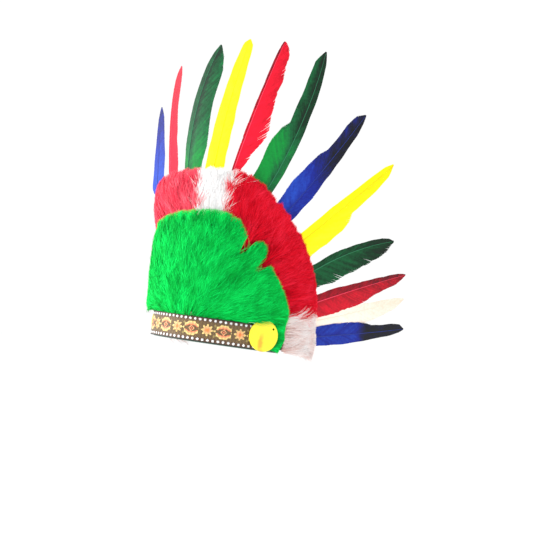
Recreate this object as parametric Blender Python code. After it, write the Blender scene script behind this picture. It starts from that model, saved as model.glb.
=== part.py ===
"""Feathered headdress: a folded felt band that carries a fan of quill feathers,
two rows of short fluffy plumage, a patterned ribbon with a paillette at each end,
and an elastic behind the head.

The wearer looks along -Y and the wearer's left hand is at +X. The origin is the
middle of the head opening, level with the lower edge of the band. Lengths are in
metres and angles in degrees.

The fan is laid out flat and then wrapped round the head. A flat place is given by
an angle from upright, positive towards the wearer's left, and a radius from the
fan's centre on the band's lower edge. Offsets are measured outwards from the head.
"""

import math

import bmesh
import bpy
import numpy as np
from mathutils import Matrix, Vector

# Head opening, the gap that touching pieces keep, and that between plumage and feathers
HEAD_HALF_WIDTH = 0.0770
HEAD_HALF_DEPTH = 0.0950
CLEARANCE = 0.0003
PLUME_CLEARANCE = 0.0008
BEND_STEP = 0.0050

# Felt band, folded in two round the quills
BAND_HEIGHT = 0.0270
FELT_THICKNESS = 0.0012
BAND_REACH = 0.1130

# Elastic behind the head, sewn inside the ends of the felt
ELASTIC_HEIGHT = 0.0200
ELASTIC_THICKNESS = 0.0012
ELASTIC_LAP = 0.0130

# Ribbon across the forehead and the paillettes on its ends
RIBBON_WIDTH = 0.0255
RIBBON_THICKNESS = 0.0012
RIBBON_REACH = 0.0970
PAILLETTE_DIAMETER = 0.0310
PAILLETTE_THICKNESS = 0.0014
PAILLETTE_INSET = 0.0040
PAILLETTE_HEIGHT = 0.0150
PAILLETTE_HOLE = 0.0022
PAILLETTE_HOLE_INSET = 0.0032

# Fan: where its centre sits, how it leans out, and where it leaves the head
FAN_SHIFT = 0.0090
FAN_LEAN = 4.2
FAN_LEAN_START = 0.0200
FAN_LEAVES_HEAD = 0.1240

# Quill feathers
QUILL_DIAMETER = 0.0026
QUILL_SPREAD = 0.0800
QUILL_ROOT_HEIGHT = 0.0200
QUILL_ROOT_DROP = 0.0130
VANE_START = 0.1270
VANE_WIDTH = 0.0300
VANE_EDGE = 0.0008
FEATHER_REACH = 0.3000
FEATHER_FREE_FROM = 0.1800

# Green plumage over the quills, and the ring of red and white behind its tips
GREEN_RADIUS = 0.1330
GREEN_THICKNESS = 0.0062
RING_RADIUS = 0.1780
RING_ROOT = 0.0900
RING_ROOT_THICKNESS = 0.0015
RING_THICKNESS = 0.0095
LOCK_DEPTH = 0.0022
LOCK_LOBE = 0.0035
LOCK_ANGLE = 3.3
LOCK_LENGTH = 0.0400
FLUFF_COVER = 0.0050
LEAST_SHOWING = 0.0070
CORNER_ROOM = 0.0045

# Outline of the two rows of plumage, in shares of their radii
OUTLINE = (
    # angle, green, ring
    (-98.0, 0.90, 0.93),
    (-75.0, 0.98, 0.99),
    (-55.0, 0.91, 0.97),
    (-38.0, 0.93, 0.96),
    (-25.0, 0.97, 0.97),
    (-10.0, 0.97, 0.97),
    (0.0, 0.99, 0.975),
    (8.0, 1.02, 1.00),
    (14.0, 1.035, 1.015),
    (20.0, 1.02, 1.00),
    (27.0, 0.93, 0.96),
    (31.0, 0.965, 0.94),
    (37.0, 0.94, 0.92),
    (41.0, 0.86, 0.91),
    (44.0, 0.895, 0.91),
    (50.0, 0.875, 0.895),
    (67.0, 0.88, 0.885),
    (76.0, 0.83, 0.87),
    (84.0, 0.79, 0.875),
    (96.0, 0.75, 0.86),
)

# Ring sections, from the wearer's right to the left
RING_SECTIONS = (
    # node, colour, from angle, to angle
    ("white_fluff_ear_right", "fluff_white", -95.5, -74.0),
    ("red_fluff_right", "fluff_red", -74.0, 2.5),
    ("white_fluff_center", "fluff_white", 2.5, 12.5),
    ("red_fluff_left", "fluff_red", 12.5, 71.5),
    ("white_fluff_ear_left", "fluff_white", 71.5, 93.5),
)

# Rows of the green plumage, as shares of the way from its lower edge to its tips
GREEN_ROWS = (
    # way, thickness, lock
    (0.00, 0.30, 0.0),
    (0.07, 0.62, 0.3),
    (0.18, 0.92, 0.6),
    (0.30, 1.08, 1.0),
    (0.36, 0.92, 0.3),
    (0.50, 1.05, 0.7),
    (0.63, 1.18, 1.0),
    (0.68, 0.95, 0.3),
    (0.84, 0.85, 0.8),
    (1.00, 0.28, 0.0),
)

# Rows of the ring: below its cover by the green, then out to its tips
RING_COVERED_ROWS = (0.0, 0.34, 0.68, 1.0)
RING_OPEN_ROWS = (
    # way, thickness, lock
    (0.22, 0.60, 0.4),
    (0.50, 1.00, 1.0),
    (0.78, 0.72, 0.8),
    (1.00, 0.22, 0.0),
)

# Feathers, from the wearer's right to the left
FEATHERS = (
    # node, colour, root angle, tip lean, reach, width, narrow side's share of it, wide side,
    # outline, layer, flare, twist
    ("feather_01_blue", "feather_blue", -83.0, 1.0, 1.01, 0.85, 0.35, -1, "plain", 0, 0.0, 0.0),
    ("feather_02_white", "feather_white", -74.0, 1.0, 1.00, 0.90, 0.30, -1, "plain", 1, 0.0, 0.0),
    ("feather_03_red", "feather_red", -64.0, 1.0, 0.98, 0.90, 0.28, -1, "tapered", 0, 0.0, 0.0),
    ("feather_04_green", "feather_green", -53.0, 0.5, 0.94, 1.00, 0.25, -1, "round", 1, 0.0, 0.0),
    ("feather_05_yellow", "feather_yellow", -41.0, 0.5, 0.86, 0.90, 0.28, -1, "notched", 0, 0.0, 0.0),
    ("feather_06_blue", "feather_blue", -25.5, 2.6, 0.91, 0.80, 0.45, -1, "plain", 1, 0.0100, 34.0),
    ("feather_07_red", "feather_red", -15.2, 7.4, 0.95, 1.00, 0.50, 1, "tapered", 0, 0.0, 0.0),
    ("feather_08_green", "feather_green", -4.3, 6.1, 1.00, 0.80, 0.23, 1, "round", 1, 0.0, 0.0),
    ("feather_09_yellow", "feather_yellow", 4.6, 2.0, 1.03, 0.62, 0.50, 1, "blunt", 0, 0.0, 0.0),
    ("feather_10_red", "feather_red", 10.9, 1.2, 1.05, 0.70, 0.10, 1, "ragged", 1, 0.0, 0.0),
    ("feather_11_green", "feather_green", 22.3, -3.7, 1.075, 0.83, 0.24, -1, "notched", 0, 0.0, 0.0),
    ("feather_12_blue", "feather_blue", 31.9, -1.0, 0.99, 0.90, 0.40, -1, "full", 1, 0.0, 0.0),
    ("feather_13_yellow", "feather_yellow", 43.8, -0.6, 0.99, 1.03, 0.26, 1, "notched", 0, 0.0, 0.0),
    ("feather_14_green", "feather_green", 56.4, 3.7, 0.935, 1.13, 0.21, 1, "round", 1, 0.0, 0.0),
    ("feather_15_red", "feather_red", 68.8, 0.6, 1.02, 1.08, 0.28, 1, "tapered", 1, 0.0, 0.0),
    ("feather_16_white", "feather_white", 76.0, -1.0, 1.04, 0.90, 0.30, 1, "plain", 0, 0.0, 0.0),
    ("feather_17_blue", "feather_blue", 82.0, -0.4, 1.06, 0.83, 0.44, -1, "full", 1, 0.0, 0.0),
)

# Vane outlines, in shares of the vane's length and of its narrow and wide half
VANE_OUTLINES = {
    # way along the vane, narrow side, wide side
    "plain": (
        (0.00, 0.35, 0.30),
        (0.14, 0.75, 0.72),
        (0.35, 1.00, 1.00),
        (0.60, 0.95, 0.93),
        (0.80, 0.74, 0.70),
        (0.92, 0.52, 0.48),
        (1.00, 0.12, 0.10),
    ),
    "tapered": (
        (0.00, 0.40, 0.35),
        (0.16, 0.85, 0.78),
        (0.38, 1.00, 1.00),
        (0.58, 0.75, 0.86),
        (0.74, 0.62, 0.58),
        (0.92, 0.44, 0.38),
        (1.00, 0.12, 0.10),
    ),
    "notched": (
        (0.00, 0.35, 0.40),
        (0.16, 0.80, 0.85),
        (0.36, 1.00, 1.00),
        (0.52, 1.00, 0.93),
        (0.63, 0.92, 0.55),
        (0.84, 0.72, 0.45),
        (0.94, 0.48, 0.35),
        (1.00, 0.12, 0.10),
    ),
    "full": (
        (0.00, 0.40, 0.40),
        (0.20, 0.90, 0.80),
        (0.42, 1.00, 1.00),
        (0.58, 0.85, 0.88),
        (0.70, 0.72, 0.58),
        (0.88, 0.52, 0.56),
        (0.96, 0.28, 0.44),
        (1.00, 0.10, 0.15),
    ),
    "ragged": (
        (0.00, 0.60, 0.20),
        (0.30, 0.80, 0.32),
        (0.40, 0.90, 0.64),
        (0.50, 1.00, 1.00),
        (0.62, 1.00, 0.78),
        (0.86, 0.95, 0.56),
        (0.95, 0.80, 0.46),
        (1.00, 0.30, 0.22),
    ),
    "round": (
        (0.00, 0.35, 0.35),
        (0.20, 0.80, 0.72),
        (0.42, 1.00, 1.00),
        (0.64, 1.00, 0.88),
        (0.88, 0.80, 0.66),
        (0.95, 0.52, 0.42),
        (1.00, 0.15, 0.12),
    ),
    "blunt": (
        (0.00, 0.40, 0.40),
        (0.20, 0.95, 0.98),
        (0.45, 0.98, 1.00),
        (0.75, 0.76, 0.72),
        (0.92, 0.58, 0.54),
        (0.98, 0.46, 0.44),
        (1.00, 0.22, 0.20),
    ),
}
QUILL_STATIONS = 10

COLOURS = {
    # base colour, roughness
    "felt_green": ((0.012, 0.075, 0.035), 0.95),
    "elastic_black": ((0.015, 0.015, 0.016), 0.85),
    "ribbon": ((0.38, 0.17, 0.05), 0.80),
    "paillette": ((0.85, 0.62, 0.02), 0.18),
    "fluff_green": ((0.005, 0.42, 0.07), 0.90),
    "fluff_red": ((0.62, 0.010, 0.035), 0.90),
    "fluff_white": ((0.80, 0.74, 0.72), 0.90),
    "feather_blue": ((0.015, 0.05, 0.33), 0.55),
    "feather_red": ((0.55, 0.010, 0.045), 0.55),
    "feather_green": ((0.010, 0.14, 0.05), 0.55),
    "feather_yellow": ((0.90, 0.80, 0.03), 0.60),
    "feather_white": ((0.80, 0.72, 0.66), 0.60),
}

# Offsets of the layers, from the head outwards
POCKET_INNER = FELT_THICKNESS + CLEARANCE
POCKET_OUTER = POCKET_INNER + QUILL_DIAMETER
QUILL_LAYER = (POCKET_INNER + POCKET_OUTER) / 2
FELT_OUTER = POCKET_OUTER + CLEARANCE + FELT_THICKNESS
RIBBON_INNER = FELT_OUTER + CLEARANCE
RIBBON_OUTER = RIBBON_INNER + RIBBON_THICKNESS
PAILLETTE_ARC = RIBBON_REACH - PAILLETTE_INSET
RING_INNER = POCKET_OUTER + PLUME_CLEARANCE
GREEN_INNER = RING_INNER + RING_ROOT_THICKNESS + PLUME_CLEARANCE
VANE_THICKNESS = (QUILL_DIAMETER - CLEARANCE) / 2
RIBBON_BOTTOM = (BAND_HEIGHT - RIBBON_WIDTH) / 2
ELASTIC_BOTTOM = (BAND_HEIGHT - ELASTIC_HEIGHT) / 2

# Arc lengths along the ellipse of the quill layer, from the front centre
ARC_ANGLES = np.radians(np.linspace(-180.0, 360.0, 2161))
ARC_HALF_WIDTH = HEAD_HALF_WIDTH + QUILL_LAYER
ARC_HALF_DEPTH = HEAD_HALF_DEPTH + QUILL_LAYER


def measured_arcs():
    """Arc length from the front centre to each of ARC_ANGLES."""
    x = ARC_HALF_WIDTH * np.sin(ARC_ANGLES)
    y = -ARC_HALF_DEPTH * np.cos(ARC_ANGLES)
    steps = np.hypot(np.diff(x), np.diff(y))
    lengths = np.concatenate([[0.0], np.cumsum(steps)])
    return lengths - np.interp(0.0, ARC_ANGLES, lengths)


ARC_LENGTHS = measured_arcs()
FULL_ROUND = float(ARC_LENGTHS[-1])


def wrapped(arc, height, offset):
    """Point at an arc length round the head, a height and an offset from the head."""
    angle = float(np.interp(arc, ARC_LENGTHS, ARC_ANGLES))
    outward = Vector((math.sin(angle) / ARC_HALF_WIDTH, -math.cos(angle) / ARC_HALF_DEPTH, 0.0))
    outward.normalize()
    rise = max(height - BAND_HEIGHT, 0.0)
    lean = math.sin(math.radians(FAN_LEAN)) * rise * rise / (rise + FAN_LEAN_START)
    on_arc = Vector((ARC_HALF_WIDTH * math.sin(angle), -ARC_HALF_DEPTH * math.cos(angle), height))
    return on_arc + outward * (offset - QUILL_LAYER + lean)


def fan_point(angle, radius, offset):
    """Point of the fan. Past FAN_LEAVES_HEAD it runs on straight, off the head."""
    turn = math.radians(angle)
    on_head = min(radius, FAN_LEAVES_HEAD)
    point = wrapped(FAN_SHIFT + on_head * math.sin(turn), on_head * math.cos(turn), offset)
    if radius <= FAN_LEAVES_HEAD:
        return point
    step = CLEARANCE
    ends = []
    for reach in (FAN_LEAVES_HEAD - step, FAN_LEAVES_HEAD):
        ends.append(wrapped(FAN_SHIFT + reach * math.sin(turn), reach * math.cos(turn), QUILL_LAYER))
    return point + (ends[1] - ends[0]).normalized() * (radius - FAN_LEAVES_HEAD)


def flat_point(across, up, offset):
    """Point of the fan from flat places across and up from the fan's centre."""
    return fan_point(math.degrees(math.atan2(across, up)), math.hypot(across, up), offset)


def material(name):
    """Material of one of the COLOURS."""
    found = bpy.data.materials.get(name)
    if found:
        return found
    colour, roughness = COLOURS[name]
    made = bpy.data.materials.new(name)
    made.use_nodes = True
    shader = made.node_tree.nodes["Principled BSDF"]
    shader.inputs["Base Color"].default_value = (*colour, 1.0)
    shader.inputs["Roughness"].default_value = roughness
    made.diffuse_color = (*colour, 1.0)
    return made


def finish_mesh(name, bm, colour, sharp_angle):
    """Turn a bmesh into a named, shaded object."""
    bmesh.ops.recalc_face_normals(bm, faces=bm.faces)
    mesh = bpy.data.meshes.new(name)
    bm.to_mesh(mesh)
    bm.free()
    mesh.shade_smooth()
    mesh.set_sharp_from_angle(angle=math.radians(sharp_angle))
    mesh.materials.append(material(colour))
    made = bpy.data.objects.new(name, mesh)
    bpy.context.scene.collection.objects.link(made)
    return made


def solid_from_rings(name, rings, colour, sharp_angle=40.0):
    """Closed solid through rings of points.

    In each ring, point k faces point n - 1 - k across the wall, which closes the ends.
    The two sides are cut into triangles alike, so a twisted wall keeps its thickness.
    """
    bm = bmesh.new()
    rows = [[bm.verts.new(point) for point in ring] for ring in rings]
    count = len(rows[0])
    for row, following in zip(rows, rows[1:]):
        for k in range(count):
            after = (k + 1) % count
            if k < count // 2:
                bm.faces.new((row[k], row[after], following[after]))
                bm.faces.new((row[k], following[after], following[k]))
            else:
                bm.faces.new((row[k], row[after], following[k]))
                bm.faces.new((row[after], following[after], following[k]))
    for end in (rows[0], rows[-1]):
        for k in range(count // 2 - 1):
            bm.faces.new((end[k], end[k + 1], end[count - 2 - k], end[count - 1 - k]))
    return finish_mesh(name, bm, colour, sharp_angle)


def strip(name, start, end, section, colour):
    """Section of (offset, height) points swept round the head from arc to arc."""
    count = max(2, math.ceil((end - start) / BEND_STEP))
    rings = []
    for i in range(count + 1):
        arc = start + (end - start) * i / count
        rings.append([wrapped(arc, height, offset) for offset, height in section])
    return solid_from_rings(name, rings, colour)


def felt_band():
    """Strip of felt folded in two: an inner and an outer wall joined along the bottom."""
    inner = FELT_THICKNESS
    outer = FELT_OUTER - FELT_THICKNESS
    section = (
        (FELT_OUTER, BAND_HEIGHT),
        (FELT_OUTER, 0.0),
        (0.0, 0.0),
        (0.0, BAND_HEIGHT),
        (inner, BAND_HEIGHT),
        (inner, FELT_THICKNESS),
        (outer, FELT_THICKNESS),
        (outer, BAND_HEIGHT),
    )
    return strip("felt_band", -BAND_REACH, BAND_REACH, section, "felt_green")


def flat_section(inner, outer, bottom, top):
    """Rectangular section between two offsets and two heights."""
    return ((outer, top), (outer, bottom), (inner, bottom), (inner, top))


def rear_elastic():
    """Plain elastic that closes the band behind the head."""
    start = BAND_REACH - ELASTIC_LAP
    outer = -CLEARANCE
    section = flat_section(outer - ELASTIC_THICKNESS, outer, ELASTIC_BOTTOM, ELASTIC_BOTTOM + ELASTIC_HEIGHT)
    return strip("rear_elastic", start, FULL_ROUND - start, section, "elastic_black")


def front_ribbon():
    """Woven ribbon sewn on the front of the felt."""
    section = flat_section(RIBBON_INNER, RIBBON_OUTER, RIBBON_BOTTOM, RIBBON_BOTTOM + RIBBON_WIDTH)
    return strip("front_ribbon", -RIBBON_REACH, RIBBON_REACH, section, "ribbon")


def paillette(name, side):
    """Large flat sequin with its small hole near the edge, flat against the ribbon's end."""
    middle = wrapped(side * PAILLETTE_ARC, PAILLETTE_HEIGHT, RIBBON_OUTER + CLEARANCE)
    outside = wrapped(side * PAILLETTE_ARC, PAILLETTE_HEIGHT, RIBBON_OUTER + 2 * CLEARANCE)
    outward = (outside - middle).normalized()
    turn = outward.to_track_quat("Z", "Y").to_matrix().to_4x4()
    place = Matrix.Translation(middle + outward * PAILLETTE_THICKNESS / 2) @ turn

    bm = bmesh.new()
    bmesh.ops.create_cone(
        bm,
        cap_ends=True,
        segments=36,
        radius1=PAILLETTE_DIAMETER / 2,
        radius2=PAILLETTE_DIAMETER / 2,
        depth=PAILLETTE_THICKNESS,
        matrix=place,
    )
    disc = finish_mesh(name, bm, "paillette", 40.0)

    # The hole sits up and towards the back of the head
    hole_turn = math.radians(38.0) if side > 0 else math.radians(142.0)
    hole_way = PAILLETTE_DIAMETER / 2 - PAILLETTE_HOLE_INSET
    hole_place = Matrix.Translation((hole_way * math.cos(hole_turn), hole_way * math.sin(hole_turn), 0.0))
    bm = bmesh.new()
    bmesh.ops.create_cone(
        bm,
        cap_ends=True,
        segments=12,
        radius1=PAILLETTE_HOLE / 2,
        radius2=PAILLETTE_HOLE / 2,
        depth=PAILLETTE_THICKNESS * 3,
        matrix=place @ hole_place,
    )
    cutter = finish_mesh(name + "_hole", bm, "paillette", 40.0)
    cutter.hide_render = True
    cutter.display_type = "WIRE"
    cut = disc.modifiers.new("hole", "BOOLEAN")
    cut.operation = "DIFFERENCE"
    cut.object = cutter
    return disc


def smooth(value):
    """Ease from 0 to 1."""
    held = min(max(value, 0.0), 1.0)
    return held * held * (3.0 - 2.0 * held)


def past_band(turn, half_length, height):
    """Radius at which a line at this angle leaves the band's upright rectangle."""
    reach = half_length + CLEARANCE - math.copysign(FAN_SHIFT, turn)
    over_top = (height + CLEARANCE) / max(math.cos(turn), 1e-6)
    if math.cos(turn) <= 0.0:
        over_top = math.inf
    past_end = reach / max(abs(math.sin(turn)), 1e-6)
    return min(over_top, past_end)


def outline_share(angle, column):
    """Share of the radius at an angle, from the OUTLINE table."""
    angles = [row[0] for row in OUTLINE]
    return float(np.interp(angle, angles, [row[column] for row in OUTLINE]))


def green_edges(angle):
    """Lower edge and tip radius of the green plumage at an angle.

    The lower edge follows the ribbon, then rises over the paillettes.
    """
    turn = math.radians(angle)
    crossing = abs(FAN_SHIFT + BAND_HEIGHT * math.tan(turn))
    beside = smooth((crossing - PAILLETTE_ARC) / (PAILLETTE_DIAMETER / 2) + 2.0)
    paillette_top = PAILLETTE_HEIGHT + PAILLETTE_DIAMETER / 2
    paillette_end = PAILLETTE_ARC + PAILLETTE_DIAMETER / 2
    lower = past_band(turn, paillette_end, BAND_HEIGHT + (paillette_top - BAND_HEIGHT) * beside)
    tip = max(GREEN_RADIUS * outline_share(angle, 1), lower + LEAST_SHOWING)
    return lower, tip


def plume_solid(name, first, last, inner_offset, rows_at, colour):
    """Plumage as a curved pad whose face stands up in rows of locks.

    rows_at gives, for an angle, the rows of (radius, thickness, lock share).
    """
    count = max(3, round((last - first) / LOCK_ANGLE))
    rings = []
    for i in range(count + 1):
        angle = first + (last - first) * i / count
        rows = rows_at(angle)
        room = min(1.0, (rows[-1][0] - rows[0][0]) / LOCK_LENGTH)
        lobe = LOCK_LOBE * room if i % 2 else 0.0
        outer = []
        inner = []
        for j, (radius, thickness, lock) in enumerate(rows):
            reach = radius
            if j == len(rows) - 1:
                reach = radius - lobe
            raised = LOCK_DEPTH * room * lock * ((i + j) % 2)
            outer.append(fan_point(angle, reach, inner_offset + thickness + raised))
            inner.append(fan_point(angle, reach, inner_offset))
        rings.append(outer + inner[::-1])
    return solid_from_rings(name, rings, colour, 25.0)


def green_fluff():
    """Wide fan of green plumage from the ribbon up, over the feet of the ring."""
    def rows_at(angle):
        lower, tip = green_edges(angle)
        rows = []
        for way, thickness, lock in GREEN_ROWS:
            rows.append((lower + (tip - lower) * way, GREEN_THICKNESS * thickness, lock))
        return rows

    return plume_solid("green_fluff", -93.0, 93.0, GREEN_INNER, rows_at, "fluff_green")


def ring_fluff(name, colour, first, last):
    """One section of the outer ring, its foot tucked in behind the green plumage."""
    gap = math.degrees(CLEARANCE / RING_ROOT)

    def rows_at(angle):
        turn = math.radians(angle)
        root = max(RING_ROOT, past_band(turn, BAND_REACH, BAND_HEIGHT) + CORNER_ROOM)
        nearby = (angle - LOCK_ANGLE, angle, angle + LOCK_ANGLE)
        cover = max(green_edges(near)[1] for near in nearby) + FLUFF_COVER
        tip = RING_RADIUS * outline_share(angle, 2)
        rows = []
        for way in RING_COVERED_ROWS:
            rows.append((root + (cover - root) * way, RING_ROOT_THICKNESS, 0.0))
        for way, thickness, lock in RING_OPEN_ROWS:
            rows.append((cover + (tip - cover) * way, RING_THICKNESS * thickness, lock))
        return rows

    return plume_solid(name, first + gap / 2, last - gap / 2, RING_INNER, rows_at, colour)


def quill_path(root_angle):
    """Flat places of the quill from the band's pocket to where the vane starts."""
    turn = math.radians(root_angle)
    side_share = root_angle / 90.0
    foot = Vector((
        QUILL_SPREAD * side_share - FAN_SHIFT,
        QUILL_ROOT_HEIGHT - QUILL_ROOT_DROP * side_share * side_share,
    ))
    way_out = Vector((math.sin(turn), math.cos(turn)))
    top = way_out * VANE_START
    reach = (top - foot).length / 3
    before_top = top - way_out * reach
    after_foot = foot + (top - foot) / 3
    places = []
    for i in range(QUILL_STATIONS):
        t = i / QUILL_STATIONS
        place = foot * (1 - t) ** 3 + after_foot * 3 * t * (1 - t) ** 2
        places.append(place + before_top * 3 * t * t * (1 - t) + top * t ** 3)
    return places


def quill_feather(
    name, colour, root_angle, tip_lean, reach, width, narrow_share, side, outline, layer, flare, twist
):
    """One feather: a round quill from the band, then a flat vane to its tip."""
    layer_offset = POCKET_INNER + VANE_THICKNESS / 2
    if layer:
        layer_offset = POCKET_OUTER - VANE_THICKNESS / 2
    tip = FEATHER_REACH * reach

    # Stations hold a flat place, offset, half thickness, edge thickness and two half widths
    stations = []
    places = quill_path(root_angle)
    for i, place in enumerate(places):
        share = i / QUILL_STATIONS
        offset = QUILL_LAYER + (layer_offset - QUILL_LAYER) * share
        thin = QUILL_DIAMETER / 2 + (VANE_THICKNESS - QUILL_DIAMETER) / 2 * share
        stations.append((place, offset, thin, thin, thin, thin, 0.0))
    for way, narrow, wide in VANE_OUTLINES[outline]:
        radius = VANE_START + (tip - VANE_START) * way
        free = max(radius - FEATHER_FREE_FROM, 0.0) / (tip - FEATHER_FREE_FROM)
        turn = math.radians(root_angle + tip_lean * free ** 1.5)
        place = Vector((math.sin(turn), math.cos(turn))) * radius
        offset = layer_offset + flare * smooth(free * 4)
        narrow_half = VANE_WIDTH * width * narrow_share * narrow
        wide_half = VANE_WIDTH * width * (1.0 - narrow_share) * wide
        left, right = (narrow_half, wide_half) if side > 0 else (wide_half, narrow_half)
        roll = math.radians(twist) * smooth(free * 3)
        stations.append((place, offset, VANE_THICKNESS / 2, VANE_EDGE / 2, left, right, roll))

    rings = []
    for i, (place, offset, half, edge, left, right, roll) in enumerate(stations):
        before = stations[max(i - 1, 0)][0]
        after = stations[min(i + 1, len(stations) - 1)][0]
        along = (after - before).normalized()
        across = Vector((along.y, -along.x))
        ring = []
        for way, lift in ((-left, edge), (0.0, half), (right, edge), (right, -edge), (0.0, -half), (-left, -edge)):
            sideways = way * math.cos(roll) - lift * side * math.sin(roll)
            outwards = lift * math.cos(roll) + way * side * math.sin(roll)
            spot = place + across * sideways
            ring.append(flat_point(spot.x, spot.y, offset + outwards))
        rings.append(ring)
    return solid_from_rings(name, rings, colour, 30.0)


for old in list(bpy.data.objects):
    bpy.data.objects.remove(old, do_unlink=True)

felt_band()
rear_elastic()
front_ribbon()
paillette("paillette_right", -1)
paillette("paillette_left", 1)
green_fluff()
for section in RING_SECTIONS:
    ring_fluff(*section)
for feather in FEATHERS:
    quill_feather(*feather)
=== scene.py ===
"""Looks of the feathered headdress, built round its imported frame.

The frame has the wearer looking along -Y with the left hand at +X. Its origin is the
middle of the head opening, level with the lower edge of the band. Lengths are in metres.
"""

import math

import bpy
import numpy as np
from mathutils import Matrix, Vector


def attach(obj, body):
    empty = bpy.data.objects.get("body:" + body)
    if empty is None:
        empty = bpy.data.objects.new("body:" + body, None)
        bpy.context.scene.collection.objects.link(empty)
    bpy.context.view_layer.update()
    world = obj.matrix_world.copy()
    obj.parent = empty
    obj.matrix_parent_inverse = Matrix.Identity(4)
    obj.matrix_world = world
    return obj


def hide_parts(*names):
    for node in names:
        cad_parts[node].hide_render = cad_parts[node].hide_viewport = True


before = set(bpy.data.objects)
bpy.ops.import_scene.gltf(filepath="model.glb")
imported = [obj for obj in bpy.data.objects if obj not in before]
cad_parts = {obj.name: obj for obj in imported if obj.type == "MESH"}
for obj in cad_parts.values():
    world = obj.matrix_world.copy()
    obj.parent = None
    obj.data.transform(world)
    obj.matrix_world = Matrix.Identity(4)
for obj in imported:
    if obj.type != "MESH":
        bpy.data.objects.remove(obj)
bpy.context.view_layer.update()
for node_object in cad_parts.values():
    node_object.select_set(False)


# Camera: off the wearer's left brow, a little below the band, with the head tipped
# in the picture. The lens and distance give the photograph's size and perspective.
CAMERA_AZIMUTH = math.radians(40.0)
CAMERA_ELEVATION = math.radians(-3.6)
CAMERA_ROLL = math.radians(8.2)
CAMERA_DISTANCE = 1.10
IMAGE_SIDE = 539
FOCAL_PIXELS = 1008.7
ORIGIN_PIXEL = (236.0, 346.4)
SENSOR = 36.0

back = Vector((
    math.sin(CAMERA_AZIMUTH) * math.cos(CAMERA_ELEVATION),
    -math.cos(CAMERA_AZIMUTH) * math.cos(CAMERA_ELEVATION),
    math.sin(CAMERA_ELEVATION),
))
level = Vector((math.cos(CAMERA_AZIMUTH), math.sin(CAMERA_AZIMUTH), 0.0))
upright = back.cross(level)
right = level * math.cos(CAMERA_ROLL) + upright * math.sin(CAMERA_ROLL)
up = upright * math.cos(CAMERA_ROLL) - level * math.sin(CAMERA_ROLL)
per_pixel = CAMERA_DISTANCE / FOCAL_PIXELS
lens_place = (
    back * CAMERA_DISTANCE
    - right * (ORIGIN_PIXEL[0] - IMAGE_SIDE / 2) * per_pixel
    - up * (IMAGE_SIDE / 2 - ORIGIN_PIXEL[1]) * per_pixel
)
camera_data = bpy.data.cameras.new("camera")
camera_data.sensor_width = SENSOR
camera_data.lens = FOCAL_PIXELS / IMAGE_SIDE * SENSOR
camera = bpy.data.objects.new("camera", camera_data)
bpy.context.scene.collection.objects.link(camera)
turned = Matrix((right, up, back)).transposed().to_4x4()
camera.matrix_world = Matrix.Translation(lens_place) @ turned
bpy.context.scene.camera = camera
bpy.context.scene.view_settings.view_transform = "Standard"


# Stage: a plain pale floor well below the band, a white room, and soft studio lights.
FLOOR_DEPTH = -0.36
FLOOR_SIZE = 16.0
ROOM_STRENGTH = 1.03


def linear(hex_colour):
    """An sRGB hex colour as a linear one, with its alpha."""
    channels = [int(hex_colour[i:i + 2], 16) / 255 for i in (1, 3, 5)]
    return (*(c / 12.92 if c <= 0.04045 else ((c + 0.055) / 1.055) ** 2.4 for c in channels), 1.0)


def new_material(name, **values):
    """A material with its shader's own values set. Returns it, its tree and the shader."""
    made = bpy.data.materials.new(name)
    made.use_nodes = True
    shader = made.node_tree.nodes["Principled BSDF"]
    for socket, value in values.items():
        shader.inputs[socket.replace("_", " ")].default_value = value
    return made, made.node_tree, shader


bpy.ops.mesh.primitive_plane_add(size=FLOOR_SIZE, location=(0.0, 0.0, FLOOR_DEPTH))
floor = bpy.context.object
floor.name = "floor"
floor_paint, _, _ = new_material("matt white paper", Base_Color=linear("#FFFFFF"), Roughness=1.0)
floor.data.materials.append(floor_paint)

world = bpy.data.worlds.new("white room")
world.use_nodes = True
world.node_tree.nodes["Background"].inputs["Color"].default_value = linear("#FFFFFF")
world.node_tree.nodes["Background"].inputs["Strength"].default_value = ROOM_STRENGTH
bpy.context.scene.world = world


def soft_light(name, place, aim, size, watts):
    """A square studio light that faces a point."""
    data = bpy.data.lights.new(name, "AREA")
    data.size = size
    data.energy = watts
    lamp = bpy.data.objects.new(name, data)
    lamp.location = place
    lamp.rotation_euler = (Vector(aim) - Vector(place)).to_track_quat("-Z", "Y").to_euler()
    bpy.context.scene.collection.objects.link(lamp)


soft_light("key", (-1.25, -1.15, 0.65), (0.0, 0.0, 0.12), 0.6, 28.0)
soft_light("fill", (1.20, -0.90, 0.60), (0.0, 0.0, 0.12), 1.0, 4.0)


# Felt band: one strip of dark green craft felt, folded in two so that the fold is the
# lower edge. The feet of the quills are glued between its walls.
HEAD_HALF_WIDTH = 0.0770
HEAD_HALF_DEPTH = 0.0950
BAND_HEIGHT = 0.0270
BAND_REACH = 0.1130
FELT_THICKNESS = 0.0012
FELT_OUTER = 0.0056
FELT_EDGE = 0.0003
FELT_STEPS = (180, 28)
QUILL_LAYER = 0.0028
FAN_LEAN = math.radians(4.2)
FAN_LEAN_START = 0.0200

ARC_HALF_WIDTH = HEAD_HALF_WIDTH + QUILL_LAYER
ARC_HALF_DEPTH = HEAD_HALF_DEPTH + QUILL_LAYER
ARC_ANGLES = np.radians(np.linspace(-180.0, 360.0, 2161))
arc_steps = np.hypot(
    np.diff(ARC_HALF_WIDTH * np.sin(ARC_ANGLES)), np.diff(ARC_HALF_DEPTH * np.cos(ARC_ANGLES))
)
ARC_LENGTHS = np.concatenate([[0.0], np.cumsum(arc_steps)])
ARC_LENGTHS -= np.interp(0.0, ARC_ANGLES, ARC_LENGTHS)
FULL_ROUND = float(ARC_LENGTHS[-1])


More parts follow.
